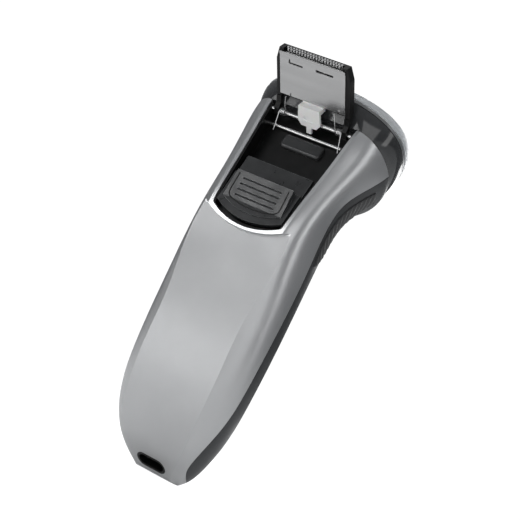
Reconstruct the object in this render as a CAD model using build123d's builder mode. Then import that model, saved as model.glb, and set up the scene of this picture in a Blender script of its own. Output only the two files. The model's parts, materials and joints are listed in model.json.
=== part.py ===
"""Three-head rotary electric shaver with a pop-up trimmer, in millimetres.

+Z runs up the handle, -Y is the front (button side), +Y the back (trimmer side), X is symmetric.
The origin is the centre of the small flat foot at the lower end.
"""
import os
from math import cos, radians, sin, tan

from build123d import *

os.makedirs("parts", exist_ok=True)

# ---------------------------------------------------------------- driving dimensions
WALL = 2.0                 # wall of the two body shells
BACK_WALL = 3.2            # depth of the inner space below the untrimmed back
GAP = 0.25                 # visible seam between the two body shells
SLIP = 0.05                # radial clearance of a shaft in its bore

# Cross-sections up the body: height at Y = 0, forward tilt in degrees, half width of the flat back,
# back position, half width at the widest place, its position, front position, fullness of the front.
SECTIONS = [
    (0.0, 0, 4.6, 4.6, 9.0, -0.4, -5.4, 0.58),
    (3.2, 0, 8.0, 8.0, 12.9, 1.6, -7.6, 0.58),
    (8.5, 0, 11.1, 14.0, 16.7, 4.8, -8.7, 0.58),
    (18.0, 0, 12.9, 18.8, 21.0, 8.6, -8.8, 0.58),
    (38.0, 0, 14.3, 22.6, 24.2, 10.8, -7.0, 0.58),
    (66.0, 0, 15.0, 25.0, 24.9, 11.6, -5.2, 0.58),
    (93.0, 0, 16.2, 26.7, 24.0, 12.0, -6.4, 0.58),
    (108.0, 7, 17.6, 23.2, 24.2, 11.6, -11.4, 0.57),
    (120.0, 16, 18.7, 20.5, 26.6, 7.4, -22.5, 0.53),
    (131.0, 22, 19.8, 18.28, 28.5, 1.5, -30.5, 0.48),
]
CREASE_ANGLE = 17          # slope at which the side starts from the flat back

# Sunk back panel, side view: (Y, Z) from the foot up to the rim of the trimmer well.
PANEL_LINE = [(3.2, 0.5), (7.1, 3.0), (13.2, 8.5), (17.9, 18.0), (21.8, 38.0), (24.1, 66.0), (25.5, 93.0)]
PANEL_TOP = 92.3           # height of the panel's top corners
PANEL_SAG = 5.2            # how far the panel's top edge dips between them

# Seam between the rear and the front shell, side view (Y, Z).
SEAM_LINE = [(-9.0, -0.6), (-5.6, 1.0), (2.6, 3.4), (8.6, 7.2), (12.0, 14.0), (13.0, 30.0), (13.4, 50.0),
             (13.2, 80.0), (13.2, 104.0), (12.4, 111.0), (9.4, 117.0), (4.6, 123.0), (-0.6, 130.0), (-4.6, 137.0)]

# Rim plane of the trimmer well: leans forward from the lower end of the opening.
RIM_FOOT = (0, 26.8, 94.1)
RIM_LEAN = 12.7
OPENING_HALF = 15.0        # half width of the opening at its lower corners
OPENING_GROWTH = 0.0757    # growth of that half width per millimetre up the rim
OPENING_SAG = 4.2
OPENING_LENGTH = 44.9

# Trimmer: hinge and sizes, measured along the trimmer from its hinge.
HINGE_Y = 16.0
HINGE_Z = 135.2
OPEN_ANGLE = 39.8          # direction of the open trimmer above the horizontal
TRIMMER_HALF = 15.6
TRIMMER_LENGTH = 25.7
PLATE_HALF = 13.9
PLATE_START = 7.4
PLATE_END = 24.4
TEETH = 20
TOOTH_PITCH = 1.2

# Head: three cutters round the head axis, which leans forward with the top of the body.
HEAD_Z = 131.0
HEAD_TILT = 22
TOOTH_MODULE = 0.7
PINION_TEETH = 21
GEAR_TEETH = 26
CUTTER_RING = TOOTH_MODULE * (PINION_TEETH + GEAR_TEETH) / 2
COLLAR_HEIGHT = 7.4
CUTTER_ANGLES = [30, 150, 270]


# ---------------------------------------------------------------- planes
def tilted(height, tilt):
    """Section plane through (0, 0, height), leaning forward by tilt degrees."""
    lean = radians(tilt)
    return Plane(origin=(0, 0, height), x_dir=(1, 0, 0), z_dir=(0, -sin(lean), cos(lean)))


HEAD = tilted(HEAD_Z, HEAD_TILT)
RIM_N = (0, cos(radians(RIM_LEAN)), sin(radians(RIM_LEAN)))
RIM = Plane(origin=RIM_FOOT, x_dir=(-1, 0, 0), z_dir=RIM_N)
OPEN = radians(OPEN_ANGLE)
# Trimmer side plane: X local = along the open trimmer, Y local = towards its outer face, drawn across X.
TRIMMER_SIDE = Plane(origin=(0, HINGE_Y, HINGE_Z), x_dir=(0, cos(OPEN), sin(OPEN)), z_dir=(1, 0, 0))
# Trimmer face plane: X local = -X, Y local = along the open trimmer, Z local = towards its inner face.
TRIMMER_FACE = Plane(origin=(0, HINGE_Y, HINGE_Z), x_dir=(-1, 0, 0), z_dir=(0, sin(OPEN), -cos(OPEN)))
INLET_SLOPE = 54
INLET = Plane(origin=(0, 7.1, 3.0), x_dir=(-1, 0, 0),
              z_dir=(0, cos(radians(INLET_SLOPE)), -sin(radians(INLET_SLOPE))))


# ---------------------------------------------------------------- shared outlines
def section(station, inset=0.0, back_inset=None, crease=CREASE_ANGLE):
    """One closed cross-section, symmetric about X = 0, inset all round."""
    height, tilt, flat, back, half, widest, front, fullness = station
    back_inset = inset if back_inset is None else back_inset
    flat = flat - 0.5 * inset
    back = back - back_inset
    half = half - inset
    front = front + inset
    run = 0.55 * (half - flat)
    rise = 0.55 * (back - widest)
    with BuildSketch(tilted(height, tilt)) as outline:
        with BuildLine():
            Line((0, back), (flat, back))
            Bezier((flat, back), (flat + run, back - run * tan(radians(crease))), (half, widest + rise),
                   (half, widest))
            Bezier((half, widest), (half, widest + fullness * (front - widest)), (fullness * half, front),
                   (0, front))
            mirror(about=Plane.YZ)
        make_face()
    return outline.sketch


def body_sections(inset=0.0, back_inset=None):
    return [section(station, inset, back_inset) for station in SECTIONS]


def opening_outline(inset=0.0, low=None, high=OPENING_LENGTH):
    """Opening of the trimmer well in the rim plane; with no low end it has the curved lower edge."""
    foot = 0.0 if low is None else low
    low_half = OPENING_HALF + OPENING_GROWTH * foot - inset
    high_half = OPENING_HALF + OPENING_GROWTH * high - inset
    with BuildSketch() as outline:
        with BuildLine():
            Line((0, high), (high_half, high))
            Line((high_half, high), (low_half, foot))
            if low is None:
                ThreePointArc((low_half, foot), (0, -OPENING_SAG + inset), (-low_half, foot))
                Line((-low_half, foot), (-high_half, high))
            else:
                Polyline((low_half, foot), (-low_half, foot), (-high_half, high))
            Line((-high_half, high), (0, high))
        make_face()
        if low is None:
            fillet(outline.vertices().group_by(Axis.Y)[0], 1.6)
    return outline.sketch


def head_section(plane, flat, back, half, widest, front, fullness=0.48):
    """Rounded three-cornered outline of the head on a plane."""
    with BuildSketch(plane) as outline:
        with BuildLine():
            Line((0, back), (flat, back))
            Bezier((flat, back), (flat + 0.55 * (half - flat), back - 0.06 * half),
                   (half, widest + 0.55 * (back - widest)), (half, widest))
            Bezier((half, widest), (half, widest + fullness * (front - widest)), (fullness * half, front),
                   (0, front))
            mirror(about=Plane.YZ)
        make_face()
    return outline.sketch


def ring_section(plane, inset=0.0):
    """Outline of the top of the collar on a plane, inset all round."""
    return head_section(plane, 11.0 - 0.5 * inset, 23.2 - inset, 30.0 - inset, 5.0, -31.2 + inset)


def cutter_places(height):
    """Planes of the three cutter axes at a height above the body's top plane."""
    places = []
    for angle in CUTTER_ANGLES:
        spot = (CUTTER_RING * cos(radians(angle)), CUTTER_RING * sin(radians(angle)))
        corner = HEAD.offset(height).from_local_coords(Vector(*spot, 0))
        places.append(Plane(origin=corner, x_dir=HEAD.x_dir, z_dir=HEAD.z_dir))
    return places


def save(builder, name):
    builder.part.label = name
    export_step(builder.part, f"parts/{name}.step")


# ---------------------------------------------------------------- shared solids
REACH = 80                 # half length of the cutting prisms across X

with BuildPart() as outer_body:
    loft(sections=body_sections())

inner_stations = [(2.4,) + SECTIONS[1][1:]] + SECTIONS[2:] + [(133.5,) + SECTIONS[-1][1:]]
with BuildPart() as inner_body:
    loft(sections=[section(station, WALL, BACK_WALL) for station in inner_stations])


def seam_region(shift):
    """Everything behind the seam line moved forward (negative) or back by shift."""
    with BuildPart() as region:
        with BuildSketch(Plane.YZ):
            with BuildLine():
                seam = Spline(*[(y + shift, z) for y, z in SEAM_LINE])
                Polyline(seam @ 1, (40, 160), (60, -10), seam @ 0)
            make_face()
        extrude(amount=REACH, both=True)
    return region.part


behind_seam = seam_region(0)
ahead_cut = seam_region(-GAP)

with BuildPart() as panel_cutter:
    with BuildSketch(Plane.XZ.offset(-14)):
        with BuildLine():
            ThreePointArc((-21, PANEL_TOP + 1.4), (0, PANEL_TOP - PANEL_SAG), (21, PANEL_TOP + 1.4))
            Polyline((21, PANEL_TOP + 1.4), (40, PANEL_TOP + 1.4), (40, -10), (-40, -10),
                     (-40, PANEL_TOP + 1.4), (-21, PANEL_TOP + 1.4))
        make_face()
    extrude(amount=-26, taper=-8)
    # The panel runs on down to the inlet over the full width of the lower end.
    with BuildSketch(Plane.XZ.offset(-2)):
        with Locations((0, 15)):
            Rectangle(80, 50)
    extrude(amount=-12)
    with BuildSketch(Plane.YZ):
        with BuildLine():
            panel = Spline(*PANEL_LINE)
            Polyline(panel @ 1, (25.6, 120), (60, 120), (60, -20), (3.2, -20), panel @ 0)
        make_face()
    extrude(amount=REACH, both=True, mode=Mode.INTERSECT)

with BuildPart() as well_cutter:
    with BuildSketch(RIM.offset(8)):
        add(opening_outline(high=60))
    extrude(amount=-20)

# ---------------------------------------------------------------- body shells
SOCKET_LENGTH = 12.8
SOCKET_WIDTH = 6.3
SOCKET_DEPTH = 7.0

with BuildPart() as rear_shell:
    add(outer_body.part)
    add(inner_body.part, mode=Mode.SUBTRACT)
    add(behind_seam, mode=Mode.INTERSECT)
    add(panel_cutter.part, mode=Mode.SUBTRACT)
    add(well_cutter.part, mode=Mode.SUBTRACT)
    with BuildSketch(INLET.offset(3)):
        SlotOverall(SOCKET_LENGTH, SOCKET_WIDTH)
    extrude(amount=-14, mode=Mode.SUBTRACT)
save(rear_shell, "rear_shell")

# Rubber grip pads: a slightly raised skin of the neck, limited by a slanted outline seen from the side.
PAD_DEPTH = 1.0
PAD_CROWN = 0.4
with BuildPart() as pad_outline:
    with BuildSketch(Plane.YZ):
        with BuildLine():
            back_edge = Spline((11.0, 88.8), (11.3, 101.0), (9.2, 109.8), (3.3, 118.6), (-1.0, 123.4))
            front_edge = Spline((-7.6, 120.8), (-2.2, 108.2), (3.2, 96.6), (10.2, 88.9))
            Line(back_edge @ 1, front_edge @ 0)
            Line(front_edge @ 1, back_edge @ 0)
        make_face()
    extrude(amount=REACH, both=True)

with BuildPart() as pad_core:
    loft(sections=body_sections(PAD_DEPTH))

with BuildPart() as pad_crown:
    loft(sections=body_sections(-PAD_CROWN))

for side, sign in (("left", 1), ("right", -1)):
    with BuildPart() as grip:
        add(pad_crown.part)
        add(pad_core.part, mode=Mode.SUBTRACT)
        add(pad_outline.part, mode=Mode.INTERSECT)
        with Locations((sign * 50, 0, 100)):
            Box(100, 200, 100, mode=Mode.INTERSECT)
    save(grip, f"grip_{side}")

with BuildPart() as pad_pocket:
    add(pad_outline.part)
    add(pad_core.part, mode=Mode.SUBTRACT)

# Front shell with the pockets of the grips, the button hole and the lens hole.
BUTTON_Z = 74.0
BUTTON_R = 6.5
LENS_Z = 56.0
LENS_LENGTH = 9.0
LENS_WIDTH = 3.0
with BuildPart() as front_shell:
    add(outer_body.part)
    add(inner_body.part, mode=Mode.SUBTRACT)
    add(ahead_cut, mode=Mode.SUBTRACT)
    add(pad_pocket.part, mode=Mode.SUBTRACT)
    with BuildSketch(Plane.XZ.offset(20)):
        with Locations((0, BUTTON_Z)):
            Circle(BUTTON_R + 0.3)
        with Locations((0, LENS_Z)):
            SlotOverall(LENS_LENGTH, LENS_WIDTH)
    extrude(amount=-22, mode=Mode.SUBTRACT)
save(front_shell, "front_shell")

# ---------------------------------------------------------------- trimmer well
BAY_WALL = 0.8
BAY_TOP = -0.5             # upper edge of the bay below the rim
DEEP_START = 22.0          # where the bay gets deeper, under the trimmer
DEEP_FLOOR = -6.3
SHALLOW_FLOOR = -3.6
BAY_FLOOR = 0.9
BAY_END = 43.5
ROD_S = 38.3
ROD_H = -5.2
ROD_R = 0.75
PIN_R = 0.7
SIDE_REACH = 17.7          # how far the rod and the hinge pin reach on each side

ROD_PLACE = RIM.from_local_coords(Vector(0, ROD_S, ROD_H))


def cross_axis(y, z):
    """Plane whose normal runs along X, at a place in the side view."""
    return Plane(origin=(0, y, z), x_dir=(0, 1, 0), z_dir=(1, 0, 0))


with BuildPart() as trimmer_bay:
    with BuildSketch(RIM.offset(BAY_TOP)):
        add(opening_outline(high=BAY_END))
    extrude(amount=SHALLOW_FLOOR - BAY_FLOOR - BAY_TOP)
    with BuildSketch(RIM.offset(-3)):
        add(opening_outline(low=DEEP_START - BAY_WALL, high=BAY_END))
    extrude(amount=DEEP_FLOOR - BAY_FLOOR + 3)
    with BuildSketch(RIM.offset(1)):
        add(opening_outline(inset=BAY_WALL, high=60))
    extrude(amount=SHALLOW_FLOOR - 1, mode=Mode.SUBTRACT)
    with BuildSketch(RIM.offset(1)):
        add(opening_outline(inset=BAY_WALL, low=DEEP_START, high=60))
    extrude(amount=DEEP_FLOOR - 1, mode=Mode.SUBTRACT)
    with BuildSketch(cross_axis(ROD_PLACE.Y, ROD_PLACE.Z)):
        Circle(ROD_R)
    extrude(amount=SIDE_REACH, both=True, mode=Mode.SUBTRACT)
    with BuildSketch(cross_axis(HINGE_Y, HINGE_Z)):
        Circle(PIN_R)
    extrude(amount=SIDE_REACH, both=True, mode=Mode.SUBTRACT)
save(trimmer_bay, "trimmer_bay")

with BuildPart() as crossbar_rod:
    with BuildSketch(cross_axis(ROD_PLACE.Y, ROD_PLACE.Z)):
        Circle(ROD_R)
    extrude(amount=SIDE_REACH, both=True)
save(crossbar_rod, "crossbar_rod")

with BuildPart() as trimmer_hinge_pin:
    with BuildSketch(cross_axis(HINGE_Y, HINGE_Z)):
        Circle(PIN_R)
    extrude(amount=SIDE_REACH, both=True)
save(trimmer_hinge_pin, "trimmer_hinge_pin")

# Drive cover: a low rounded housing on the floor of the well, below the rod.
with BuildPart() as trimmer_drive_cover:
    with BuildSketch(RIM.offset(DEEP_FLOOR)):
        with Locations((0, 34.0)):
            RectangleRounded(17, 5.6, 1.5)
    extrude(amount=1.6)
    fillet(trimmer_drive_cover.faces().sort_by(Axis.Y)[-1].edges(), 1.0)
save(trimmer_drive_cover, "trimmer_drive_cover")

# ---------------------------------------------------------------- trimmer
FRAME_BACK = 3.6           # outer face of the frame, below the hinge axis line
PLATE_OUT = 0.33           # inner face of the frame under the cover plate
PLATE_THICK = 0.4
SIDE_WALL = 1.9
FRAME_END = TRIMMER_LENGTH - 0.2
POCKET_DEPTH = 2.1
POCKET_WIDTH = 25.0

with BuildPart() as trimmer_frame:
    with BuildSketch(TRIMMER_SIDE):
        with BuildLine():
            Polyline((FRAME_END, PLATE_OUT + PLATE_THICK), (FRAME_END, FRAME_BACK),
                     (8.0, FRAME_BACK), (2.5, 0.9), (-1.2, 0.9))
            ThreePointArc((-1.2, 0.9), (-1.7, -0.2), (-1.0, -1.3))
            Polyline((-1.0, -1.3), (1.6, -1.3), (3.4, PLATE_OUT), (6.0, PLATE_OUT),
                     (6.0, PLATE_OUT + PLATE_THICK), (FRAME_END, PLATE_OUT + PLATE_THICK))
        make_face()
    extrude(amount=TRIMMER_HALF, both=True)
    # Open space between the side arms, round the lever, and down to the hinge.
    with BuildSketch(TRIMMER_FACE.offset(3)):
        with Locations((0, 2.0)):
            Rectangle(2 * (TRIMMER_HALF - SIDE_WALL), 10.0)
    extrude(amount=-5.4, mode=Mode.SUBTRACT)
    with BuildSketch(TRIMMER_FACE.offset(3)):
        with Locations((0, -1.0)):
            Rectangle(2 * (TRIMMER_HALF - SIDE_WALL), 7.0)
    extrude(amount=-12, mode=Mode.SUBTRACT)
    # Pocket for the lever and the blades behind the cover plate.
    with BuildSketch(TRIMMER_FACE.offset(-PLATE_OUT)):
        with Locations((0, 17.0)):
            Rectangle(POCKET_WIDTH, 20.6)
    extrude(amount=-POCKET_DEPTH, mode=Mode.SUBTRACT)
    with BuildSketch(cross_axis(HINGE_Y, HINGE_Z)):
        Circle(PIN_R + SLIP)
    extrude(amount=TRIMMER_HALF + 1, both=True, mode=Mode.SUBTRACT)
    # Slanted outer corners at the tip.
    with BuildSketch(TRIMMER_FACE.offset(1)):
        with BuildLine():
            Polyline((TRIMMER_HALF + 1, FRAME_END - 4.6), (TRIMMER_HALF, FRAME_END - 4.6),
                     (TRIMMER_HALF - 1.3, FRAME_END), (TRIMMER_HALF - 1.3, FRAME_END + 1),
                     (TRIMMER_HALF + 1, FRAME_END + 1), close=True)
        make_face()
        mirror(about=Plane.YZ)
    extrude(amount=-8, mode=Mode.SUBTRACT)
save(trimmer_frame, "trimmer_frame")


def comb_outline(teeth, half, low, high, tooth_depth, tooth_width):
    """Flat blade with a row of teeth along its upper edge, drawn in the trimmer face plane."""
    with BuildSketch() as outline:
        with Locations((0, (low + high - tooth_depth) / 2)):
            Rectangle(2 * half, high - tooth_depth - low)
        with Locations((0, high - tooth_depth / 2)):
            with GridLocations(TOOTH_PITCH, 0, teeth, 1):
                Rectangle(tooth_width, tooth_depth + 0.2)
    return outline.sketch


BLADE_GAP = 0.08
FIXED_BLADE = 0.6
MOVING_BLADE = 0.6
# The fixed blade lies on the floor of its seat, the moving blade slides on it, then comes the cover plate.
BLADE_FLOOR = -PLATE_OUT - POCKET_DEPTH
with BuildPart() as trimmer_fixed_blade:
    with BuildSketch(TRIMMER_FACE.offset(BLADE_FLOOR)):
        add(comb_outline(TEETH, 12.4, 19.4, TRIMMER_LENGTH, 1.6, 0.7))
    extrude(amount=FIXED_BLADE)
save(trimmer_fixed_blade, "trimmer_fixed_blade")

with BuildPart() as trimmer_moving_blade:
    with BuildSketch(TRIMMER_FACE.offset(BLADE_FLOOR + FIXED_BLADE + BLADE_GAP)):
        add(comb_outline(TEETH - 1, 11.4, 18.6, TRIMMER_LENGTH - 0.3, 1.4, 0.6))
        with Locations((0, 18.0)):
            Rectangle(6.0, 1.6)
        # Slot for the finger of the drive lever.
        with Locations((0, 18.6)):
            Rectangle(1.6, 3.2, mode=Mode.SUBTRACT)
    extrude(amount=MOVING_BLADE)
save(trimmer_moving_blade, "trimmer_moving_blade")

with BuildPart() as trimmer_cover_plate:
    with BuildSketch(TRIMMER_FACE.offset(-PLATE_OUT - PLATE_THICK)):
        with Locations((0, (PLATE_START + PLATE_END) / 2)):
            Rectangle(2 * PLATE_HALF, PLATE_END - PLATE_START)
        with Locations((5.2, 21.0)):
            SlotOverall(7.6, 1.0, mode=Mode.SUBTRACT)
        with Locations((-7.0, 20.6)):
            SlotOverall(6.0, 0.7, mode=Mode.SUBTRACT)
        with Locations((-9.8, 21.2)):
            SlotOverall(1.8, 0.7, rotation=90, mode=Mode.SUBTRACT)
    extrude(amount=PLATE_THICK)
    # Folded lip along the upper edge.
    with BuildSketch(TRIMMER_FACE.offset(-PLATE_OUT)):
        with Locations((0, PLATE_END - 0.55)):
            Rectangle(2 * PLATE_HALF, 1.1)
    extrude(amount=0.25)
save(trimmer_cover_plate, "trimmer_cover_plate")

# Drive lever: swings on a pivot on the frame. Its finger moves the blade, and its tail ends at the rod.
# The upper part lies under the cover plate, the lower part passes the hinge pin on its inner side.
LEVER_PIVOT = 12.5
LEVER_TOP = -PLATE_OUT - PLATE_THICK - 0.12
LEVER_THICK = 1.2
TAIL_LEVEL = 0.85
TAIL_THICK = 0.9
PIVOT_R = 1.2
with BuildPart() as trimmer_drive_lever:
    with BuildSketch(TRIMMER_FACE.offset(LEVER_TOP)):
        with BuildLine():
            Polyline((4.5, 5.0), (4.3, 13.4), (1.4, 16.2), (0.55, 16.2), (0.55, 19.2), (-0.55, 19.2), (-0.55, 16.2),
                     (-1.4, 16.2), (-4.3, 13.4), (-4.5, 5.0), close=True)
        make_face()
        with Locations((0, LEVER_PIVOT)):
            Circle(PIVOT_R + SLIP, mode=Mode.SUBTRACT)
    extrude(amount=-LEVER_THICK)
    with BuildSketch(TRIMMER_FACE.offset(LEVER_TOP)):
        with Locations((0, 5.6)):
            Rectangle(9.0, 1.6)
    extrude(amount=TAIL_LEVEL - LEVER_TOP + TAIL_THICK)
    with BuildSketch(TRIMMER_FACE.offset(TAIL_LEVEL)):
        with BuildLine():
            Polyline((4.5, 6.4), (4.8, 0.6), (3.2, -1.3), (1.0, -1.3), (1.0, -3.8), (-1.0, -3.8), (-1.0, -1.3),
                     (-3.2, -1.3), (-4.8, 0.6), (-4.5, 6.4), close=True)
        make_face()
    extrude(amount=TAIL_THICK)
    with BuildSketch(TRIMMER_FACE.offset(TAIL_LEVEL + TAIL_THICK)):
        with Locations((0, 2.0)):
            SlotOverall(4.4, 2.2)
    extrude(amount=-0.4, mode=Mode.SUBTRACT)
save(trimmer_drive_lever, "trimmer_drive_lever")

with BuildPart() as lever_pivot:
    with BuildSketch(TRIMMER_FACE.offset(BLADE_FLOOR)):
        with Locations((0, LEVER_PIVOT)):
            Circle(PIVOT_R)
    extrude(amount=LEVER_TOP - BLADE_FLOOR)
save(lever_pivot, "lever_pivot")

# Torsion springs: coils round the hinge pin with one leg along the trimmer and one past the rod.
WIRE_R = 0.22
COIL_R = 1.15
COIL_PITCH = 0.6
COIL_TURNS = 4 - 25.3 / 360    # whole turns less the angle between the two legs
COIL_END = 13.4
UP_LEG = 7.5
DOWN_LEG = 7.0
DOWN_SLOPE = 65.2              # slope of the leg that runs down past the rod
DOWN = radians(DOWN_SLOPE)

# Drawn upright round +Z, starting where the lower leg leaves the coil, then laid along the hinge pin.
with BuildPart() as coil_spring:
    with BuildLine():
        coil = Helix(pitch=COIL_PITCH, height=COIL_PITCH * COIL_TURNS, radius=COIL_R)
    with BuildSketch(Plane(origin=coil @ 0, z_dir=coil % 0)):
        Circle(WIRE_R)
    sweep(is_frenet=True)
    with BuildSketch(Plane(origin=coil @ 0, z_dir=-(coil % 0))):
        Circle(WIRE_R)
    extrude(amount=DOWN_LEG)
    with BuildSketch(Plane(origin=coil @ 1, z_dir=coil % 1)):
        Circle(WIRE_R)
    extrude(amount=UP_LEG)

COIL_PLACE = Plane(origin=(-COIL_END, HINGE_Y, HINGE_Z), x_dir=(0, sin(DOWN), -cos(DOWN)), z_dir=(1, 0, 0))
with BuildPart() as trimmer_spring_right:
    add(coil_spring.part.moved(COIL_PLACE.location))
save(trimmer_spring_right, "trimmer_spring_right")

with BuildPart() as trimmer_spring_left:
    mirror(trimmer_spring_right.part, about=Plane.YZ)
save(trimmer_spring_left, "trimmer_spring_left")

# ---------------------------------------------------------------- trimmer slider
SLIDER_TOP = 13.9
SLIDER_HALF = 14.0
SHELF_TOP = 21.6
PAD_RISE = 2.2
PAD_FOOT = 3.6

# Thumb pad: a wedge that rises towards the trimmer, with ribs inside a raised shield-shaped edge.
with BuildPart() as thumb_pad:
    with BuildSketch(RIM.offset(-0.4)):
        with BuildLine():
            Polyline((-12.5, PAD_FOOT), (-12.0, SLIDER_TOP), (12.0, SLIDER_TOP), (12.5, PAD_FOOT))
            ThreePointArc((12.5, PAD_FOOT), (0, 0.4), (-12.5, PAD_FOOT))
        make_face()
    extrude(amount=6)
    with BuildSketch(Plane.YZ):
        with BuildLine():
            wedge = [(-6, -2), (-6, 0.35), (PAD_FOOT, 0.35), (SLIDER_TOP, PAD_RISE), (20, PAD_RISE), (20, -2)]
            places = [RIM.from_local_coords(Vector(0, s, h)) for s, h in wedge]
            Polyline(*[(place.Y, place.Z) for place in places], close=True)
        make_face()
    extrude(amount=20, both=True, mode=Mode.INTERSECT)

RIB_COUNT = 4
RIB_SPACE = 2.1
with BuildPart() as rib_grooves:
    for rib in range(RIB_COUNT):
        s = 5.2 + rib * RIB_SPACE
        surface = 0.35 + (PAD_RISE - 0.35) * (s - PAD_FOOT) / (SLIDER_TOP - PAD_FOOT)
        with BuildSketch(RIM.offset(surface - 0.45)):
            with Locations((0, s)):
                SlotOverall(17.0, 0.7)
        extrude(amount=3)

with BuildPart() as trimmer_slider:
    # Flat carrier, level with the rim.
    with BuildSketch(RIM.offset(-0.1)):
        with BuildLine():
            Polyline((-SLIDER_HALF, 1.6), (-SLIDER_HALF, SLIDER_TOP), (SLIDER_HALF, SLIDER_TOP), (SLIDER_HALF, 1.6))
            ThreePointArc((SLIDER_HALF, 1.6), (0, -2.2), (-SLIDER_HALF, 1.6))
        make_face()
    extrude(amount=-1.5)
    # Tongue that reaches under the tip of the closed trimmer.
    with BuildSketch(RIM.offset(-1.5)):
        with Locations((0, (SLIDER_TOP - 6 + SHELF_TOP) / 2)):
            Rectangle(2 * SLIDER_HALF + 0.2, SHELF_TOP - SLIDER_TOP + 6)
    extrude(amount=-1.4)
    add(thumb_pad.part)
    add(rib_grooves.part, mode=Mode.SUBTRACT)
save(trimmer_slider, "trimmer_slider")

# Flat spring on the carrier's underside that clicks over the bay floor.
with BuildPart() as slider_detent_spring:
    with BuildSketch(RIM.offset(-3.45)):
        with Locations((0, 6.0)):
            Rectangle(6.0, 10.0)
    extrude(amount=0.5)
save(slider_detent_spring, "slider_detent_spring")

# ---------------------------------------------------------------- charging socket
SOCKET_SKIN = 0.9
with BuildPart() as charging_socket:
    with BuildSketch(INLET):
        SlotOverall(SOCKET_LENGTH, SOCKET_WIDTH)
    extrude(amount=-SOCKET_DEPTH - 1.0)
    with BuildSketch(INLET.offset(-0.3)):
        SlotOverall(SOCKET_LENGTH - 2 * SOCKET_SKIN, SOCKET_WIDTH - 2 * SOCKET_SKIN)
    extrude(amount=-SOCKET_DEPTH + 0.3, mode=Mode.SUBTRACT)
    with BuildSketch(INLET.offset(0.2)):
        SlotOverall(SOCKET_LENGTH - 2 * SOCKET_SKIN, SOCKET_WIDTH - 2 * SOCKET_SKIN)
    extrude(amount=-1.0, mode=Mode.SUBTRACT)
    # Key that sets which way round the plug goes in.
    with BuildSketch(INLET.offset(-0.6)):
        with Locations((0, SOCKET_WIDTH / 2 - SOCKET_SKIN)):
            Rectangle(1.8, 1.4)
    extrude(amount=-SOCKET_DEPTH + 0.6)
    with BuildSketch(INLET.offset(-SOCKET_DEPTH - 2)):
        with GridLocations(5.0, 0, 2, 1):
            Circle(0.8)
    extrude(amount=4, mode=Mode.SUBTRACT)
save(charging_socket, "charging_socket")

with BuildPart() as charging_pins:
    with BuildSketch(INLET.offset(-SOCKET_DEPTH - 1.6)):
        with GridLocations(5.0, 0, 2, 1):
            Circle(0.8)
    extrude(amount=SOCKET_DEPTH)
    fillet(charging_pins.edges().sort_by(Axis(INLET.origin, INLET.z_dir))[-2:], 0.3)
save(charging_pins, "charging_pins")

# ---------------------------------------------------------------- inside the handle
CHASSIS_Y = 1.2
with BuildPart() as chassis:
    with BuildSketch(Plane.XZ.offset(-CHASSIS_Y)):
        with Locations((0, 55.0)):
            RectangleRounded(30.0, 76.0, 5.0)
    extrude(amount=-1.6)
    # Cradle walls on both sides of the cell.
    with BuildSketch(Plane.XZ.offset(-CHASSIS_Y - 1.6)):
        with Locations((0, 54.0)):
            with GridLocations(17.0, 0, 2, 1):
                Rectangle(1.4, 46.0)
    extrude(amount=-5.0)
save(chassis, "chassis")

CELL_R = 7.0
CELL_LOW = 29.0
CELL_LENGTH = 48.0
CELL_Y = CHASSIS_Y + 1.6 + CELL_R + 0.1
with BuildPart() as battery_cell:
    with BuildSketch(Plane.XY.offset(CELL_LOW)):
        with Locations((0, CELL_Y)):
            Circle(CELL_R)
    extrude(amount=CELL_LENGTH)
    fillet(battery_cell.edges(), 0.6)
    with BuildSketch(Plane.XY.offset(CELL_LOW + CELL_LENGTH)):
        with Locations((0, CELL_Y)):
            Circle(2.6)
    extrude(amount=1.0)
save(battery_cell, "battery_cell")

with BuildPart() as battery_tabs:
    with BuildSketch(Plane.XY.offset(CELL_LOW - 0.3)):
        with Locations((0, CELL_Y - 2)):
            Rectangle(4.0, 9.0)
    extrude(amount=0.3)
    with BuildSketch(Plane.XY.offset(CELL_LOW + CELL_LENGTH + 1.0)):
        with Locations((0, CELL_Y - 2)):
            Rectangle(4.0, 9.0)
    extrude(amount=0.3)
save(battery_tabs, "battery_tabs")

BOARD_THICK = 1.0
BOARD_Y = CHASSIS_Y - BOARD_THICK
with BuildPart() as circuit_board:
    with BuildSketch(Plane.XZ.offset(-BOARD_Y)):
        with Locations((0, 56.0)):
            RectangleRounded(24.0, 60.0, 2.0)
    extrude(amount=-BOARD_THICK)
    with BuildSketch(Plane.XZ.offset(-BOARD_Y)):
        with Locations((-7, 40), (6, 38), (7, 66)):
            Rectangle(4.0, 5.0)
    extrude(amount=1.2)
save(circuit_board, "circuit_board")

with BuildPart() as power_switch:
    with BuildSketch(Plane.XZ.offset(-BOARD_Y)):
        with Locations((0, BUTTON_Z)):
            Rectangle(6.0, 6.0)
    extrude(amount=0.9)
save(power_switch, "power_switch")

with BuildPart() as status_light:
    with BuildSketch(Plane.XZ.offset(-BOARD_Y)):
        with Locations((0, LENS_Z)):
            Circle(1.4)
    extrude(amount=1.5)
save(status_light, "status_light")

# The button passes through the front shell and is held by a flange behind it.
BUTTON_FACE = 6.3
BUTTON_LENGTH = 4.6
FLANGE_FACE = 2.4
with BuildPart() as power_button:
    with BuildSketch(Plane.XZ.offset(BUTTON_FACE)):
        with Locations((0, BUTTON_Z)):
            Circle(BUTTON_R)
    extrude(amount=-BUTTON_LENGTH)
    fillet(power_button.edges().sort_by(Axis.Y)[0], 0.7)
    with BuildSketch(Plane.XZ.offset(FLANGE_FACE)):
        with Locations((0, BUTTON_Z)):
            Circle(BUTTON_R + 1.0)
    extrude(amount=-0.7)
save(power_button, "power_button")

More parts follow.
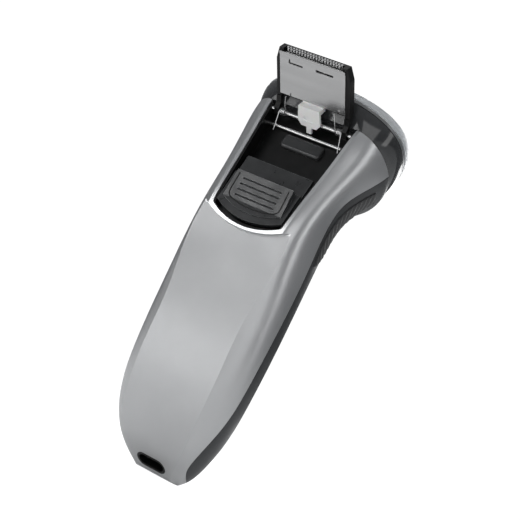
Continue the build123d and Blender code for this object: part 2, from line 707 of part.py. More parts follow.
with BuildPart() as indicator_lens:
    with BuildSketch(Plane.XZ.offset(6.0)):
        with Locations((0, LENS_Z)):
            SlotOverall(LENS_LENGTH, LENS_WIDTH)
    extrude(amount=-2.4)
save(indicator_lens, "indicator_lens")

# ---------------------------------------------------------------- drive under the head
# Heights above the body's top plane.
MOTOR_TOP = 0.7
MOTOR_LENGTH = 21.0
SHAFT_R = 1.0
BASE_LOW = 0.75
BASE_THICK = 1.15
GEAR_LOW = 2.3
GEAR_THICK = 1.8
DECK_LOW = 4.6
DECK_THICK = 0.8
SPINDLE_R = 1.2
SPINDLE_TIP = 8.5
COLLAR_GAP = 0.3
COLLAR_WALL = 1.8
MOTOR_SCREW_X = 6.5
DECK_SCREWS = [(11.3, -6.5), (-11.3, -6.5)]


def collar_sections(inset):
    return [
        head_section(HEAD.offset(COLLAR_GAP), 19.0 - 0.5 * inset, 18.1 - inset, 28.3 - inset, 1.5, -30.3 + inset),
        head_section(HEAD.offset(4.0), 15.5 - 0.5 * inset, 21.0 - inset, 29.5 - inset, 3.4, -31.0 + inset),
        ring_section(HEAD.offset(COLLAR_HEIGHT), inset),
    ]


def plate_outline(height, inset):
    """Flat outline that fits inside the lower end of the collar."""
    return head_section(HEAD.offset(height), 19.0 - 0.5 * inset, 18.1 - inset, 28.3 - inset, 1.5, -30.3 + inset)


with BuildPart() as motor_can:
    with BuildSketch(HEAD.offset(MOTOR_TOP)):
        RectangleRounded(19.0, 13.6, 6.0)
    extrude(amount=-MOTOR_LENGTH)
    with BuildSketch(HEAD.offset(MOTOR_TOP)):
        Circle(3.0)
    extrude(amount=1.0)
    with BuildSketch(HEAD.offset(MOTOR_TOP + 1.0)):
        Circle(SHAFT_R + SLIP)
    extrude(amount=-6.0, mode=Mode.SUBTRACT)
    with BuildSketch(HEAD.offset(MOTOR_TOP)):
        with GridLocations(2 * MOTOR_SCREW_X, 0, 2, 1):
            Circle(0.8)
    extrude(amount=-2.0, mode=Mode.SUBTRACT)
save(motor_can, "motor_can")

with BuildPart() as motor_shaft:
    with BuildSketch(HEAD.offset(MOTOR_TOP - 4.9)):
        Circle(SHAFT_R)
    extrude(amount=GEAR_LOW + GEAR_THICK + 4.9 - MOTOR_TOP)
save(motor_shaft, "motor_shaft")


def gear_outline(teeth, bore, turned=0.0):
    """Spur gear with straight-flanked teeth and a plain bore, centred on the origin."""
    pitch_r = TOOTH_MODULE * teeth / 2
    root_r = pitch_r - 1.1 * TOOTH_MODULE
    tip_r = pitch_r + 0.8 * TOOTH_MODULE
    step = 360 / teeth
    corners = []
    for tooth in range(teeth):
        middle = turned + tooth * step
        for radius, part in ((root_r, -0.30), (tip_r, -0.11), (tip_r, 0.11), (root_r, 0.30)):
            angle = radians(middle + part * step)
            corners.append((radius * cos(angle), radius * sin(angle)))
    with BuildSketch() as outline:
        with BuildLine():
            Polyline(*corners, close=True)
        make_face()
        Circle(bore, mode=Mode.SUBTRACT)
    return outline.sketch


with BuildPart() as motor_pinion:
    # A tooth gap faces each of the three gears, which stand 120 degrees apart.
    with BuildSketch(HEAD.offset(GEAR_LOW)):
        add(gear_outline(PINION_TEETH, SHAFT_R, turned=CUTTER_ANGLES[0] + 180 / PINION_TEETH))
    extrude(amount=GEAR_THICK)
save(motor_pinion, "motor_pinion")

for number, angle in enumerate(CUTTER_ANGLES, start=1):
    with BuildPart() as drive_gear:
        # One tooth of each gear points at the pinion.
        with BuildSketch(cutter_places(GEAR_LOW)[number - 1]):
            add(gear_outline(GEAR_TEETH, SPINDLE_R, turned=angle + 180))
            with PolarLocations(5.2, 5):
                Circle(1.4, mode=Mode.SUBTRACT)
        extrude(amount=GEAR_THICK)
    save(drive_gear, f"drive_gear_{number}")

    with BuildPart() as drive_spindle:
        with BuildSketch(cutter_places(BASE_LOW + 0.1)[number - 1]):
            Circle(SPINDLE_R)
        extrude(amount=DECK_LOW + DECK_THICK + 0.4 - BASE_LOW)
        with BuildSketch(cutter_places(DECK_LOW + DECK_THICK + 0.4)[number - 1]):
            Rectangle(1.6, 1.6)
        extrude(amount=SPINDLE_TIP - DECK_LOW - DECK_THICK - 0.4)
    save(drive_spindle, f"drive_spindle_{number}")

with BuildPart() as gear_base:
    with BuildSketch(HEAD.offset(BASE_LOW)):
        add(plate_outline(0, COLLAR_WALL + 0.3).moved(HEAD.location.inverse()))
        Circle(3.05, mode=Mode.SUBTRACT)
        # Notch for the tail of the trimmer's drive lever.
        with Locations((0, 16.0)):
            Rectangle(9.0, 10.4, mode=Mode.SUBTRACT)
        with GridLocations(2 * MOTOR_SCREW_X, 0, 2, 1):
            Circle(0.8, mode=Mode.SUBTRACT)
        with Locations(*DECK_SCREWS):
            Circle(0.8, mode=Mode.SUBTRACT)
    extrude(amount=BASE_THICK)
    with BuildSketch(HEAD.offset(BASE_LOW + BASE_THICK)):
        with GridLocations(2 * MOTOR_SCREW_X, 0, 2, 1):
            Circle(1.5)
    extrude(amount=-0.5, mode=Mode.SUBTRACT)
    for place in cutter_places(BASE_LOW - 1):
        with BuildSketch(place):
            Circle(SPINDLE_R + SLIP)
        extrude(amount=BASE_THICK + 2, mode=Mode.SUBTRACT)
save(gear_base, "gear_base")

with BuildPart() as motor_screws:
    with BuildSketch(HEAD.offset(MOTOR_TOP - 1.5)):
        with GridLocations(2 * MOTOR_SCREW_X, 0, 2, 1):
            Circle(0.8)
    extrude(amount=BASE_LOW + BASE_THICK - MOTOR_TOP + 1.5)
    with BuildSketch(HEAD.offset(BASE_LOW + BASE_THICK)):
        with GridLocations(2 * MOTOR_SCREW_X, 0, 2, 1):
            Circle(1.5)
    extrude(amount=-0.5)
save(motor_screws, "motor_screws")

with BuildPart() as gear_deck:
    with BuildSketch(HEAD.offset(DECK_LOW)):
        add(plate_outline(0, COLLAR_WALL + 0.3).moved(HEAD.location.inverse()))
    extrude(amount=DECK_THICK)
    with BuildSketch(HEAD.offset(BASE_LOW + BASE_THICK)):
        with Locations(*DECK_SCREWS):
            Circle(1.8)
    extrude(amount=DECK_LOW - BASE_LOW - BASE_THICK)
    with BuildSketch(HEAD.offset(BASE_LOW + BASE_THICK)):
        with Locations(*DECK_SCREWS):
            Circle(0.8)
    extrude(amount=DECK_LOW + DECK_THICK - BASE_LOW - BASE_THICK, mode=Mode.SUBTRACT)
    with BuildSketch(HEAD.offset(DECK_LOW + DECK_THICK)):
        with Locations(*DECK_SCREWS):
            Circle(1.5)
    extrude(amount=-0.5, mode=Mode.SUBTRACT)
    for place in cutter_places(DECK_LOW - 1):
        with BuildSketch(place):
            Circle(SPINDLE_R + SLIP)
        extrude(amount=DECK_THICK + 2, mode=Mode.SUBTRACT)
save(gear_deck, "gear_deck")

with BuildPart() as deck_screws:
    with BuildSketch(HEAD.offset(BASE_LOW)):
        with Locations(*DECK_SCREWS):
            Circle(0.8)
    extrude(amount=DECK_LOW + DECK_THICK - BASE_LOW)
    with BuildSketch(HEAD.offset(DECK_LOW + DECK_THICK)):
        with Locations(*DECK_SCREWS):
            Circle(1.5)
    extrude(amount=-0.5)
save(deck_screws, "deck_screws")

# ---------------------------------------------------------------- collar and shaving head
with BuildPart() as collar_inside:
    loft(sections=collar_sections(COLLAR_WALL))

with BuildPart() as head_collar:
    loft(sections=collar_sections(0.0))
    add(collar_inside.part, mode=Mode.SUBTRACT)
save(head_collar, "head_collar")

SEAL_THICK = 0.45
with BuildPart() as head_seal:
    with BuildSketch(HEAD.offset(COLLAR_HEIGHT)):
        add(ring_section(Plane.XY, 0.7))
        add(ring_section(Plane.XY, COLLAR_WALL), mode=Mode.SUBTRACT)
    extrude(amount=SEAL_THICK)
save(head_seal, "head_seal")

RETAINER_LOW = 5.7
RETAINER_THICK = 0.7
FRAME_LOW = COLLAR_HEIGHT + SEAL_THICK + 0.05
RIM_THICK = 1.0
STEP_THICK = 0.7
SKIRT_INSET = 2.9
COMB_R = 11.0
COMB_SLIP = 0.25           # gap all round an outer cutter
COMB_FLANGE_R = 11.55
with BuildPart() as head_frame:
    with BuildSketch(HEAD.offset(FRAME_LOW)):
        add(ring_section(Plane.XY, 0.1))
    extrude(amount=RIM_THICK)
    with BuildSketch(HEAD.offset(FRAME_LOW + RIM_THICK)):
        add(ring_section(Plane.XY, 1.75))
    extrude(amount=STEP_THICK)
    # Skirt that plugs into the collar and carries the retainer.
    with BuildSketch(HEAD.offset(RETAINER_LOW + RETAINER_THICK)):
        add(ring_section(Plane.XY, SKIRT_INSET))
        add(ring_section(Plane.XY, SKIRT_INSET + 0.8), mode=Mode.SUBTRACT)
    extrude(amount=FRAME_LOW - RETAINER_LOW - RETAINER_THICK)
    for place in cutter_places(FRAME_LOW):
        with BuildSketch(place):
            Circle(COMB_FLANGE_R + COMB_SLIP)
        extrude(amount=RIM_THICK, mode=Mode.SUBTRACT)
        with BuildSketch(place):
            Circle(COMB_R + COMB_SLIP)
        extrude(amount=5, mode=Mode.SUBTRACT)
save(head_frame, "head_frame")

with BuildPart() as cutter_retainer:
    for place in cutter_places(RETAINER_LOW):
        with BuildSketch(place):
            Circle(COMB_R)
        extrude(amount=RETAINER_THICK)
    with BuildSketch(HEAD.offset(RETAINER_LOW)):
        RegularPolygon(15.0, 3, rotation=90)
    extrude(amount=RETAINER_THICK)
    for place in cutter_places(RETAINER_LOW - 1):
        with BuildSketch(place):
            Circle(COMB_R - 1.1)
        extrude(amount=3, mode=Mode.SUBTRACT)
save(cutter_retainer, "cutter_retainer")

COMB_LOW = 8.35
COMB_TOP = 10.9
COMB_PLATE = 0.5
INNER_LOW = 7.2
SLOTS = 36
for number in range(1, 4):
    with BuildPart() as outer_cutter:
        with BuildSketch(cutter_places(COMB_LOW)[number - 1]):
            Circle(COMB_FLANGE_R)
        extrude(amount=0.5)
        with BuildSketch(cutter_places(COMB_LOW)[number - 1]):
            Circle(COMB_R)
        extrude(amount=COMB_TOP - COMB_LOW)
        fillet(outer_cutter.edges().sort_by(Axis(HEAD.origin, HEAD.z_dir))[-1], 0.8)
        with BuildSketch(cutter_places(COMB_LOW)[number - 1]):
            Circle(COMB_R - 0.6)
        extrude(amount=COMB_TOP - COMB_LOW - COMB_PLATE, mode=Mode.SUBTRACT)
        with BuildSketch(cutter_places(COMB_TOP - 1.0)[number - 1]):
            with PolarLocations(8.2, SLOTS):
                Rectangle(3.6, 0.45)
        extrude(amount=2, mode=Mode.SUBTRACT)
    save(outer_cutter, f"outer_cutter_{number}")

    with BuildPart() as inner_cutter:
        with BuildSketch(cutter_places(INNER_LOW)[number - 1]):
            Circle(2.4)
            Rectangle(1.9, 1.9, mode=Mode.SUBTRACT)
        extrude(amount=2.6)
        with BuildSketch(cutter_places(INNER_LOW + 1.4)[number - 1]):
            Circle(8.2)
            Rectangle(1.9, 1.9, mode=Mode.SUBTRACT)
        extrude(amount=0.6)
        with BuildSketch(cutter_places(INNER_LOW + 2.0)[number - 1]):
            with PolarLocations(7.9, 12):
                Rectangle(3.2, 0.8)
        extrude(amount=COMB_TOP - COMB_PLATE - 0.1 - INNER_LOW - 2.0)
    save(inner_cutter, f"inner_cutter_{number}")

# ---------------------------------------------------------------- protective cap
CAP_LOW = FRAME_LOW + RIM_THICK + 0.45
CAP_TOP = 14.3             # height of the cap's top above the body's top plane, on the head axis
CAP_TILT = -3.5            # the cap's top leans back a little from the head plane
CAP_WALL = 1.1


def cap_plane(drop):
    """Plane parallel to the cap's top, drop millimetres below it."""
    lean = radians(HEAD_TILT + CAP_TILT)
    top = HEAD.from_local_coords(Vector(0, 0, CAP_TOP - drop))
    return Plane(origin=top, x_dir=(1, 0, 0), z_dir=(0, -sin(lean), cos(lean)))


def cap_sections(low, inset, drop):
    """Upright side, rounded shoulder and slightly domed top of the cap."""
    return [
        ring_section(HEAD.offset(low), inset),
        ring_section(cap_plane(2.6 + drop), inset + 0.3),
        ring_section(cap_plane(0.8 + drop), inset + 1.3),
        ring_section(cap_plane(drop), inset + 3.4),
    ]


with BuildPart() as cap_inside:
    loft(sections=cap_sections(CAP_LOW - 1, CAP_WALL, CAP_WALL))

with BuildPart() as cap:
    loft(sections=cap_sections(CAP_LOW, 0.0, 0.0))
    add(cap_inside.part, mode=Mode.SUBTRACT)
save(cap, "cap")
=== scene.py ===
"""Looks of the electric shaver: materials, ribbed grips, small details, studio and camera, in metres."""
import json
from math import cos, pi, radians, sin

import bpy
import numpy as np
from mathutils import Matrix, Vector


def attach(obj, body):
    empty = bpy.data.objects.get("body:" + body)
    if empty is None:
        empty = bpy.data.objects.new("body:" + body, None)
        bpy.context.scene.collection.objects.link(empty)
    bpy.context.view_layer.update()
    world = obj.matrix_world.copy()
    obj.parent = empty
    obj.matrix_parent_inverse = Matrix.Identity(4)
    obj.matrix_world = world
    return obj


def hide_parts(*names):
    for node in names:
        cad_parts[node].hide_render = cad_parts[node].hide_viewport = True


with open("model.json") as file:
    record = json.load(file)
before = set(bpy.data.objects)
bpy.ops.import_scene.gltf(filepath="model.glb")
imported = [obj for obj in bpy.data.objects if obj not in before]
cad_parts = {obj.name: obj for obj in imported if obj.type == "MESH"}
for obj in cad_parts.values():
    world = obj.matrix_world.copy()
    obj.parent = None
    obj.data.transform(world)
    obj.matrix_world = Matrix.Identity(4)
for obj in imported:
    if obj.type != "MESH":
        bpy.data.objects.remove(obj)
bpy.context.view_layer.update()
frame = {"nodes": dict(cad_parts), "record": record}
MM = 0.001
scene = bpy.context.scene
nodes = frame["nodes"]


# ---------------------------------------------------------------- materials
EDGE_TURN = (0.75, 0.99)  # cosine between the rounded and the true normal: fully worn, not worn
EDGE_SAMPLES = 4
WEAR_PATCH_MM = 1.4       # size of the patches in which edges wear
WEAR_PATCHES = (0.1, 0.9)
GRAIN_SHARE = 0.5         # part of the colour mix that the fine grain decides
LOWEST_ROUGHNESS = 0.02
BUMP_STRENGTH = 0.6


def noise(tree, coords, size_mm, detail=4.0, stretch=(1, 1, 1)):
    """Noise whose features are about size_mm millimetres, stretched along the axes."""
    mapping = tree.nodes.new("ShaderNodeMapping")
    mapping.inputs["Scale"].default_value = [1 / (size_mm * MM * s) for s in stretch]
    tree.links.new(coords, mapping.inputs["Vector"])
    texture = tree.nodes.new("ShaderNodeTexNoise")
    texture.inputs["Scale"].default_value = 1.0
    texture.inputs["Detail"].default_value = detail
    tree.links.new(mapping.outputs["Vector"], texture.inputs["Vector"])
    return texture.outputs["Fac"]


def remap(tree, value, low, high, start=0.3, stop=0.7):
    """Range start to stop of a value taken to low to high, and held at the ends."""
    node = tree.nodes.new("ShaderNodeMapRange")
    node.inputs["From Min"].default_value = start
    node.inputs["From Max"].default_value = stop
    node.inputs["To Min"].default_value = low
    node.inputs["To Max"].default_value = high
    tree.links.new(value, node.inputs["Value"])
    return node.outputs["Result"]


def mixed(tree, factor, first, second):
    """Colour mix; each of the two may be a colour or another output."""
    node = tree.nodes.new("ShaderNodeMix")
    node.data_type = "RGBA"
    tree.links.new(factor, node.inputs["Factor"])
    for socket, colour in ((node.inputs[6], first), (node.inputs[7], second)):
        if isinstance(colour, tuple):
            socket.default_value = (*colour, 1)
        else:
            tree.links.new(colour, socket)
    return node.outputs[2]


def edges(tree, radius_mm):
    """Mask that rises on convex and concave edges, for wear."""
    bevel = tree.nodes.new("ShaderNodeBevel")
    bevel.samples = EDGE_SAMPLES
    bevel.inputs["Radius"].default_value = radius_mm * MM
    geometry = tree.nodes.new("ShaderNodeNewGeometry")
    dot = tree.nodes.new("ShaderNodeVectorMath")
    dot.operation = "DOT_PRODUCT"
    tree.links.new(bevel.outputs["Normal"], dot.inputs[0])
    tree.links.new(geometry.outputs["Normal"], dot.inputs[1])
    return remap(tree, dot.outputs["Value"], 1.0, 0.0, *EDGE_TURN)


def finish_of(name, light, dark, rough, metal=0.0, tone_mm=6.0, grain_mm=0.2, bump_mm=0.01, spread=0.06,
              stretch=(1, 1, 1), wear=None, wear_mm=0.3, **shader):
    """Material with a cloudy tone, a fine grain in colour, roughness and bump, and worn edges."""
    material = bpy.data.materials.new(name)
    material.use_nodes = True
    tree = material.node_tree
    bsdf = tree.nodes["Principled BSDF"]
    coords = tree.nodes.new("ShaderNodeTexCoord").outputs["Object"]
    tone = noise(tree, coords, tone_mm, 5.0, stretch)
    grain = noise(tree, coords, grain_mm, 3.0, stretch)
    blend = tree.nodes.new("ShaderNodeMath")
    blend.operation = "MULTIPLY_ADD"
    blend.inputs[1].default_value = GRAIN_SHARE
    tree.links.new(grain, blend.inputs[0])
    tree.links.new(remap(tree, tone, 0.0, 1 - GRAIN_SHARE), blend.inputs[2])
    colour = mixed(tree, blend.outputs["Value"], dark, light)
    if wear:
        worn = tree.nodes.new("ShaderNodeMath")
        worn.operation = "MULTIPLY"
        tree.links.new(edges(tree, wear_mm), worn.inputs[0])
        tree.links.new(remap(tree, noise(tree, coords, WEAR_PATCH_MM), *WEAR_PATCHES), worn.inputs[1])
        colour = mixed(tree, worn.outputs["Value"], colour, wear)
    tree.links.new(colour, bsdf.inputs["Base Color"])
    smoothest = max(rough - spread, LOWEST_ROUGHNESS)
    tree.links.new(remap(tree, tone, smoothest, rough + spread), bsdf.inputs["Roughness"])
    bsdf.inputs["Metallic"].default_value = metal
    bump = tree.nodes.new("ShaderNodeBump")
    bump.inputs["Strength"].default_value = BUMP_STRENGTH
    bump.inputs["Distance"].default_value = bump_mm * MM
    tree.links.new(grain, bump.inputs["Height"])
    tree.links.new(bump.outputs["Normal"], bsdf.inputs["Normal"])
    for socket, value in shader.items():
        bsdf.inputs[socket.replace("_", " ")].default_value = value
    return material


def grey(level, blue=0.0):
    """Grey that leans towards blue by the given share."""
    return (level, level * (1 + 0.5 * blue), level * (1 + blue))


BRUSH_X = (40, 1, 1)  # grain drawn out along X, as brushed metal has it
FINISHES = {
    "silver_paint": dict(light=grey(0.60, 0.02), dark=grey(0.54, 0.03), rough=0.29, metal=0.80,
        tone_mm=14.0, grain_mm=0.12, bump_mm=0.006, spread=0.015, wear=grey(0.66, 0.02), wear_mm=0.25,
        Coat_Weight=0.15, Coat_Roughness=0.25),
    "dark_shell": dict(light=grey(0.055, 0.10), dark=grey(0.038, 0.10), rough=0.34, metal=0.2, tone_mm=9.0,
        grain_mm=0.18, bump_mm=0.008, wear=grey(0.10, 0.08)),
    "grip_rubber": dict(light=grey(0.030, 0.05), dark=grey(0.020, 0.05), rough=0.62, metal=0.0,
        tone_mm=4.0, grain_mm=0.22, bump_mm=0.03, wear=grey(0.06, 0.04), wear_mm=0.25, Sheen_Weight=0.15),
    "black_plastic": dict(light=grey(0.005, 0.05), dark=grey(0.003), rough=0.34, metal=0.0, tone_mm=5.0,
        grain_mm=0.16, bump_mm=0.014, wear=grey(0.05), wear_mm=0.2, Specular_IOR_Level=0.28),
    "grey_plastic": dict(light=grey(0.055, 0.05), dark=grey(0.035, 0.05), rough=0.18, metal=0.2,
        tone_mm=5.0, grain_mm=0.25, bump_mm=0.006, wear=grey(0.12)),
    "white_plastic": dict(light=(0.93, 0.93, 0.92), dark=(0.87, 0.87, 0.86), rough=0.34, metal=0.0,
        tone_mm=4.0, grain_mm=0.3, bump_mm=0.008, wear=(0.90, 0.90, 0.88), Subsurface_Weight=0.1,
        Subsurface_Scale=0.0008),
    "bright_steel": dict(light=grey(0.82), dark=grey(0.68), rough=0.16, metal=1.0, tone_mm=2.0,
        grain_mm=0.1, bump_mm=0.003, stretch=(12, 1, 1), wear=grey(0.92), wear_mm=0.1),
    "blade_steel": dict(light=grey(0.66), dark=grey(0.48), rough=0.27, metal=1.0, tone_mm=1.5,
        grain_mm=0.05, bump_mm=0.004, stretch=(1, 14, 14), wear=grey(0.88), wear_mm=0.1),
    "plate_steel": dict(light=grey(0.56), dark=grey(0.44), rough=0.17, metal=1.0, tone_mm=3.0,
        grain_mm=0.05, bump_mm=0.003, stretch=BRUSH_X, wear=grey(0.92), wear_mm=0.15),
    "slider_grey": dict(light=grey(0.040, 0.08), dark=grey(0.026, 0.08), rough=0.32, metal=0.2,
        tone_mm=5.0, grain_mm=0.18, bump_mm=0.010, wear=grey(0.26, 0.04), wear_mm=0.3),
    "pin_metal": dict(light=(0.80, 0.79, 0.74), dark=(0.62, 0.61, 0.56), rough=0.2, metal=1.0, tone_mm=1.5,
        grain_mm=0.08, bump_mm=0.003, wear=grey(0.9), wear_mm=0.1),
    "inner_plastic": dict(light=grey(0.08, 0.06), dark=grey(0.05, 0.06), rough=0.45, metal=0.0,
        tone_mm=5.0, grain_mm=0.25, bump_mm=0.012, wear=grey(0.14)),
    "cell_wrap": dict(light=(0.06, 0.16, 0.32), dark=(0.04, 0.11, 0.24), rough=0.3, metal=0.0, tone_mm=6.0,
        grain_mm=0.5, bump_mm=0.01, wear=(0.2, 0.3, 0.42)),
    "board": dict(light=(0.02, 0.16, 0.06), dark=(0.015, 0.10, 0.04), rough=0.35, metal=0.0, tone_mm=2.5,
        grain_mm=0.4, bump_mm=0.02, wear=(0.4, 0.36, 0.2)),
    "lens": dict(light=(0.75, 0.85, 0.9), dark=(0.62, 0.74, 0.8), rough=0.25, metal=0.0, tone_mm=3.0,
        grain_mm=0.3, bump_mm=0.006, Transmission_Weight=0.5),
    "silver_button": dict(light=grey(0.5, 0.04), dark=grey(0.38, 0.04), rough=0.3, metal=0.8, tone_mm=5.0,
        grain_mm=0.12, bump_mm=0.006, wear=grey(0.7)),
    "motor_steel": dict(light=grey(0.58), dark=grey(0.42), rough=0.3, metal=1.0, tone_mm=4.0,
        grain_mm=0.12, bump_mm=0.005, wear=grey(0.8)),
    "brass_gear": dict(light=(0.78, 0.60, 0.28), dark=(0.58, 0.42, 0.18), rough=0.25, metal=1.0,
        tone_mm=2.0, grain_mm=0.1, bump_mm=0.004, wear=(0.9, 0.75, 0.4), wear_mm=0.1),
    "screw_steel": dict(light=grey(0.55), dark=grey(0.4), rough=0.32, metal=1.0, tone_mm=1.5, grain_mm=0.1,
        bump_mm=0.005, wear=grey(0.8), wear_mm=0.1),
    "collar_gloss": dict(light=grey(0.040, 0.10), dark=grey(0.026, 0.10), rough=0.13, metal=0.0,
        tone_mm=8.0, grain_mm=0.3, bump_mm=0.002, spread=0.03, wear=grey(0.14), wear_mm=0.25,
        Coat_Weight=0.6, Coat_Roughness=0.05),
    "seal_rubber": dict(light=grey(0.012), dark=grey(0.007), rough=0.6, metal=0.0, tone_mm=3.0,
        grain_mm=0.2, bump_mm=0.02, wear=grey(0.03)),
    "frame_grey": dict(light=grey(0.26, 0.05), dark=grey(0.18, 0.05), rough=0.26, metal=0.4, tone_mm=5.0,
        grain_mm=0.2, bump_mm=0.006, wear=grey(0.5), wear_mm=0.25),
    "comb_steel": dict(light=grey(0.66), dark=grey(0.5), rough=0.24, metal=1.0, tone_mm=2.0, grain_mm=0.06,
        bump_mm=0.003, wear=grey(0.88), wear_mm=0.12),
    "cap_frosted": dict(light=(0.90, 0.92, 0.93), dark=(0.80, 0.83, 0.85), rough=0.32, metal=0.0,
        tone_mm=12.0, grain_mm=0.3, bump_mm=0.006, spread=0.05, wear=(0.97, 0.98, 0.98), wear_mm=0.4,
        Transmission_Weight=0.55, IOR=1.45),
}
MATERIALS = {name: finish_of(name, **finish) for name, finish in FINISHES.items()}
slot_of = {part["node"]: part["material_slot"] for part in frame["record"]["subparts"]}
for name, node in nodes.items():
    material = MATERIALS[slot_of[name]]
    if node.data.materials:
        for index in range(len(node.data.materials)):
            node.data.materials[index] = material
    else:
        node.data.materials.append(material)


def add_object(name, mesh, body, slot):
    """A new piece that rides on a CAD body and takes the finish of a slot."""
    piece = bpy.data.objects.new(name, mesh)
    scene.collection.objects.link(piece)
    mesh.materials.append(MATERIALS[slot])
    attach(piece, body)
    return piece


# ---------------------------------------------------------------- ribbed rubber grips
RIB_PITCH = 2.5 * MM
RIB_HEIGHT = 0.38 * MM
RIB_SLANT = radians(38)
RIB_FADE = 1.1 * MM
RIB_SHARPNESS = 0.7
RIB_BASE = 0.45       # share of the rib wave that lies below the smooth surface
GRIP_VOXEL = 0.32 * MM
SLICE = 0.5 * MM      # height of the slices in which the pad's front and back outline is found
OUTER_FACE = (2.0, 0.4)  # gain and offset that keep the ribs to the face turned outwards


def ribbed(node_name):
    """Fine mesh of a grip with slanted ribs raised on its outer face, fading out near its outline."""
    source = nodes[node_name]
    helper = bpy.data.objects.new("helper", source.data.copy())
    scene.collection.objects.link(helper)
    remesh = helper.modifiers.new("even", "REMESH")
    remesh.mode = "VOXEL"
    remesh.voxel_size = GRIP_VOXEL
    bpy.context.view_layer.update()
    mesh = bpy.data.meshes.new_from_object(helper.evaluated_get(bpy.context.evaluated_depsgraph_get()))
    bpy.data.objects.remove(helper)
    mesh.materials.clear()
    count = len(mesh.vertices)
    points = np.empty(count * 3)
    mesh.vertices.foreach_get("co", points)
    points = points.reshape(-1, 3)
    normals = np.empty(count * 3)
    mesh.vertices.foreach_get("normal", normals)
    normals = normals.reshape(-1, 3)
    side = np.sign(points[:, 0].mean())
    slices = np.floor(points[:, 2] / SLICE).astype(int)
    slices -= slices.min()
    front = np.full(slices.max() + 1, np.inf)
    back = np.full(slices.max() + 1, -np.inf)
    np.minimum.at(front, slices, points[:, 1])
    np.maximum.at(back, slices, points[:, 1])
    inner = np.minimum(points[:, 1] - front[slices], back[slices] - points[:, 1])
    ends = np.minimum(points[:, 2] - points[:, 2].min(), points[:, 2].max() - points[:, 2])
    fade = np.clip(np.minimum(inner, ends) / RIB_FADE, 0, 1)
    gain, offset = OUTER_FACE
    fade *= np.clip(normals[:, 0] * side * gain - offset, 0, 1)
    across = points[:, 2] * cos(RIB_SLANT) - points[:, 1] * sin(RIB_SLANT)
    wave = 0.5 + 0.5 * np.cos(2 * pi * across / RIB_PITCH)
    lift = RIB_HEIGHT * fade * (wave ** RIB_SHARPNESS - RIB_BASE)
    points += normals * lift[:, None]
    mesh.vertices.foreach_set("co", points.reshape(-1))
    mesh.polygons.foreach_set("use_smooth", [True] * len(mesh.polygons))
    mesh.update()
    return mesh


for side in ("left", "right"):
    pad = add_object(f"ribbed_grip_{side}", ribbed(f"grip_{side}"), "body", "grip_rubber")
    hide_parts(f"grip_{side}")

# ---------------------------------------------------------------- slider: painted shade of the groove round the thumb pad
# The rim plane and the pad's slope, as in the CAD; pad heights are in millimetres.
RIM_FOOT = Vector((0, 26.8, 94.1)) * MM
RIM_LEAN = radians(12.7)
RIM_UP = Vector((0, -sin(RIM_LEAN), cos(RIM_LEAN)))
RIM_OUT = Vector((0, cos(RIM_LEAN), sin(RIM_LEAN)))
PAD_FOOT = 3.6
PAD_TOP = 13.9
PAD_LOW = 0.35
PAD_RISE = 2.2


def on_pad(x, s, lift=0.0):
    """Point on the thumb pad at x across and s up the rim, in millimetres."""
    part = min(max((s - PAD_FOOT) / (PAD_TOP - PAD_FOOT), 0), 1)
    height = PAD_LOW + (PAD_RISE - PAD_LOW) * part + lift
    return Vector((x * MM, 0, 0)) + RIM_FOOT + RIM_UP * (s * MM) + RIM_OUT * (height * MM)


def tube(name, points, radius, body, slot):
    """Thin round line through points."""
    curve = bpy.data.curves.new(name, "CURVE")
    curve.dimensions = "3D"
    curve.bevel_depth = radius
    curve.bevel_resolution = 3
    spline = curve.splines.new("NURBS")
    spline.points.add(len(points) - 1)
    for point, place in zip(spline.points, points):
        point.co = (*place, 1)
    spline.order_u = 3
    spline.use_endpoint_u = True
    piece = bpy.data.objects.new(name, curve)
    scene.collection.objects.link(piece)
    curve.materials.append(MATERIALS[slot])
    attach(piece, body)
    return piece


# The groove is drawn as a thin black tube half sunk in the pad; its black is painted shade of the groove.
GROOVE_RADIUS = 0.3 * MM
GROOVE_SUNK = -0.14
GROOVE_SIDE = [(10.6, 13.0), (10.8, 9.0), (11.0, 5.2), (9.6, 3.7), (5.0, 2.6)]
groove = [(-x, s) for x, s in GROOVE_SIDE] + [(0, 2.2)] + GROOVE_SIDE[::-1]
line = [on_pad(x, s, GROOVE_SUNK) for x, s in groove]
tube("slider_groove_painted_shade", line, GROOVE_RADIUS, "slider", "black_plastic")

# ---------------------------------------------------------------- studio
FLOOR_WHITE = 0.95
FLOOR_REACH = 80.0
FLOOR_GLOW = (0.12, 0.85)      # for the object's reflections, for the camera
SKY_LOW = (0.10, 0.10, 0.11)
SKY_HIGH = (0.95, 0.97, 1.0)
SKY_RISE = (-0.1, 0.75)        # height, as a share of the dome, over which the sky brightens
SKY_STRENGTH = 0.36
BACKDROP_STRENGTH = 1.05


def stage_material():
    """White matt floor. It looks as white as the backdrop, yet throws little light back at the object."""
    material = bpy.data.materials.new("pale_floor")
    material.use_nodes = True
    nodes_of = material.node_tree.nodes
    bsdf = nodes_of["Principled BSDF"]
    bsdf.inputs["Base Color"].default_value = (FLOOR_WHITE, FLOOR_WHITE, FLOOR_WHITE, 1)
    bsdf.inputs["Roughness"].default_value = 0.9
    bsdf.inputs["Specular IOR Level"].default_value = 0.0
    bsdf.inputs["Emission Color"].default_value = (1, 1, 1, 1)
    seen_by_camera = nodes_of.new("ShaderNodeLightPath").outputs["Is Camera Ray"]
    glow = remap(material.node_tree, seen_by_camera, *FLOOR_GLOW, 0.0, 1.0)
    material.node_tree.links.new(glow, bsdf.inputs["Emission Strength"])
    return material


floor_mesh = bpy.data.meshes.new("floor")
corners = [(x * FLOOR_REACH, y * FLOOR_REACH, 0) for x, y in ((-1, -1), (1, -1), (1, 1), (-1, 1))]
floor_mesh.from_pydata(corners, [], [(0, 1, 2, 3)])
floor = bpy.data.objects.new("floor", floor_mesh)
floor_mesh.materials.append(stage_material())
scene.collection.objects.link(floor)

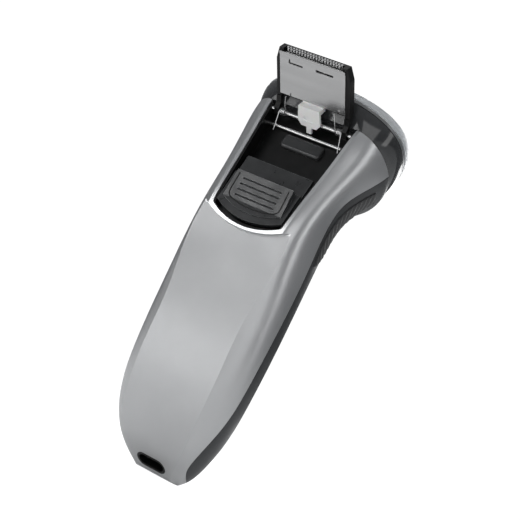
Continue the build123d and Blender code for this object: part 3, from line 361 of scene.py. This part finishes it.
# Metal mirrors a soft sky that is dark below and bright above; the camera itself sees plain white.
world = bpy.data.worlds.new("studio")
world.use_nodes = True
scene.world = world
tree = world.node_tree
background = tree.nodes["Background"]
around = tree.nodes.new("ShaderNodeSeparateXYZ")
tree.links.new(tree.nodes.new("ShaderNodeTexCoord").outputs["Generated"], around.inputs["Vector"])
height = remap(tree, around.outputs["Z"], 0.0, 1.0, *SKY_RISE)
tree.links.new(mixed(tree, height, SKY_LOW, SKY_HIGH), background.inputs["Color"])
background.inputs["Strength"].default_value = SKY_STRENGTH
seen = tree.nodes.new("ShaderNodeBackground")
seen.inputs["Color"].default_value = (1, 1, 1, 1)
seen.inputs["Strength"].default_value = BACKDROP_STRENGTH
path = tree.nodes.new("ShaderNodeLightPath")
choose = tree.nodes.new("ShaderNodeMixShader")
tree.links.new(path.outputs["Is Camera Ray"], choose.inputs["Fac"])
tree.links.new(background.outputs["Background"], choose.inputs[1])
tree.links.new(seen.outputs["Background"], choose.inputs[2])
tree.links.new(choose.outputs["Shader"], tree.nodes["World Output"].inputs["Surface"])


def area_light(name, place, target, size, power):
    """Rectangular light at a place, turned to a target; metres and watts."""
    light = bpy.data.lights.new(name, "AREA")
    light.shape = "RECTANGLE"
    light.size = size[0]
    light.size_y = size[1]
    light.energy = power
    holder = bpy.data.objects.new(name, light)
    holder.location = place
    holder.rotation_euler = (Vector(target) - Vector(place)).to_track_quat("-Z", "Y").to_euler()
    scene.collection.objects.link(holder)


MIDDLE = (0, 0, 0.09)
area_light("key", (0.31, 0.54, 0.25), MIDDLE, (0.45, 0.16), 0.40)
area_light("top", (0.15, 0.10, 0.75), MIDDLE, (0.35, 0.35), 0.5)
area_light("side", (-0.62, 0.05, 0.30), MIDDLE, (0.12, 0.45), 0.25)
area_light("fill", (-0.40, 0.52, 0.20), MIDDLE, (0.5, 0.3), 0.50)
area_light("front", (0.10, -0.70, 0.40), MIDDLE, (0.5, 0.4), 1.5)
# The lower panel leans over the floor and mirrors it, so the floor beside the shaver is lit from above.
area_light("floor_pool", (0.21, 0.36, 0.18), (0.21, 0.36, 0), (0.16, 0.16), 0.50)

# ---------------------------------------------------------------- camera at the photograph's viewing angle
TURN = radians(30)
DROP = radians(6.08)
ROLL = radians(27.14)
DISTANCE = 0.55
TARGET = Vector((0, 0.004, 0.0843))
LENS_MM = 106.6
SENSOR_MM = 36
away = Vector((-sin(TURN) * cos(DROP), cos(TURN) * cos(DROP), -sin(DROP)))
right = Vector((-cos(TURN), -sin(TURN), 0))
up = away.cross(right)
image_x = right * cos(ROLL) + up * sin(ROLL)
image_y = up * cos(ROLL) - right * sin(ROLL)
camera_data = bpy.data.cameras.new("camera")
camera_data.lens = LENS_MM
camera_data.sensor_width = SENSOR_MM
camera_data.clip_start = 0.01
camera = bpy.data.objects.new("camera", camera_data)
scene.collection.objects.link(camera)
basis = Matrix((image_x, image_y, away)).transposed().to_4x4()
camera.matrix_world = Matrix.Translation(TARGET + away * DISTANCE) @ basis
scene.camera = camera
scene.view_settings.view_transform = "Standard"
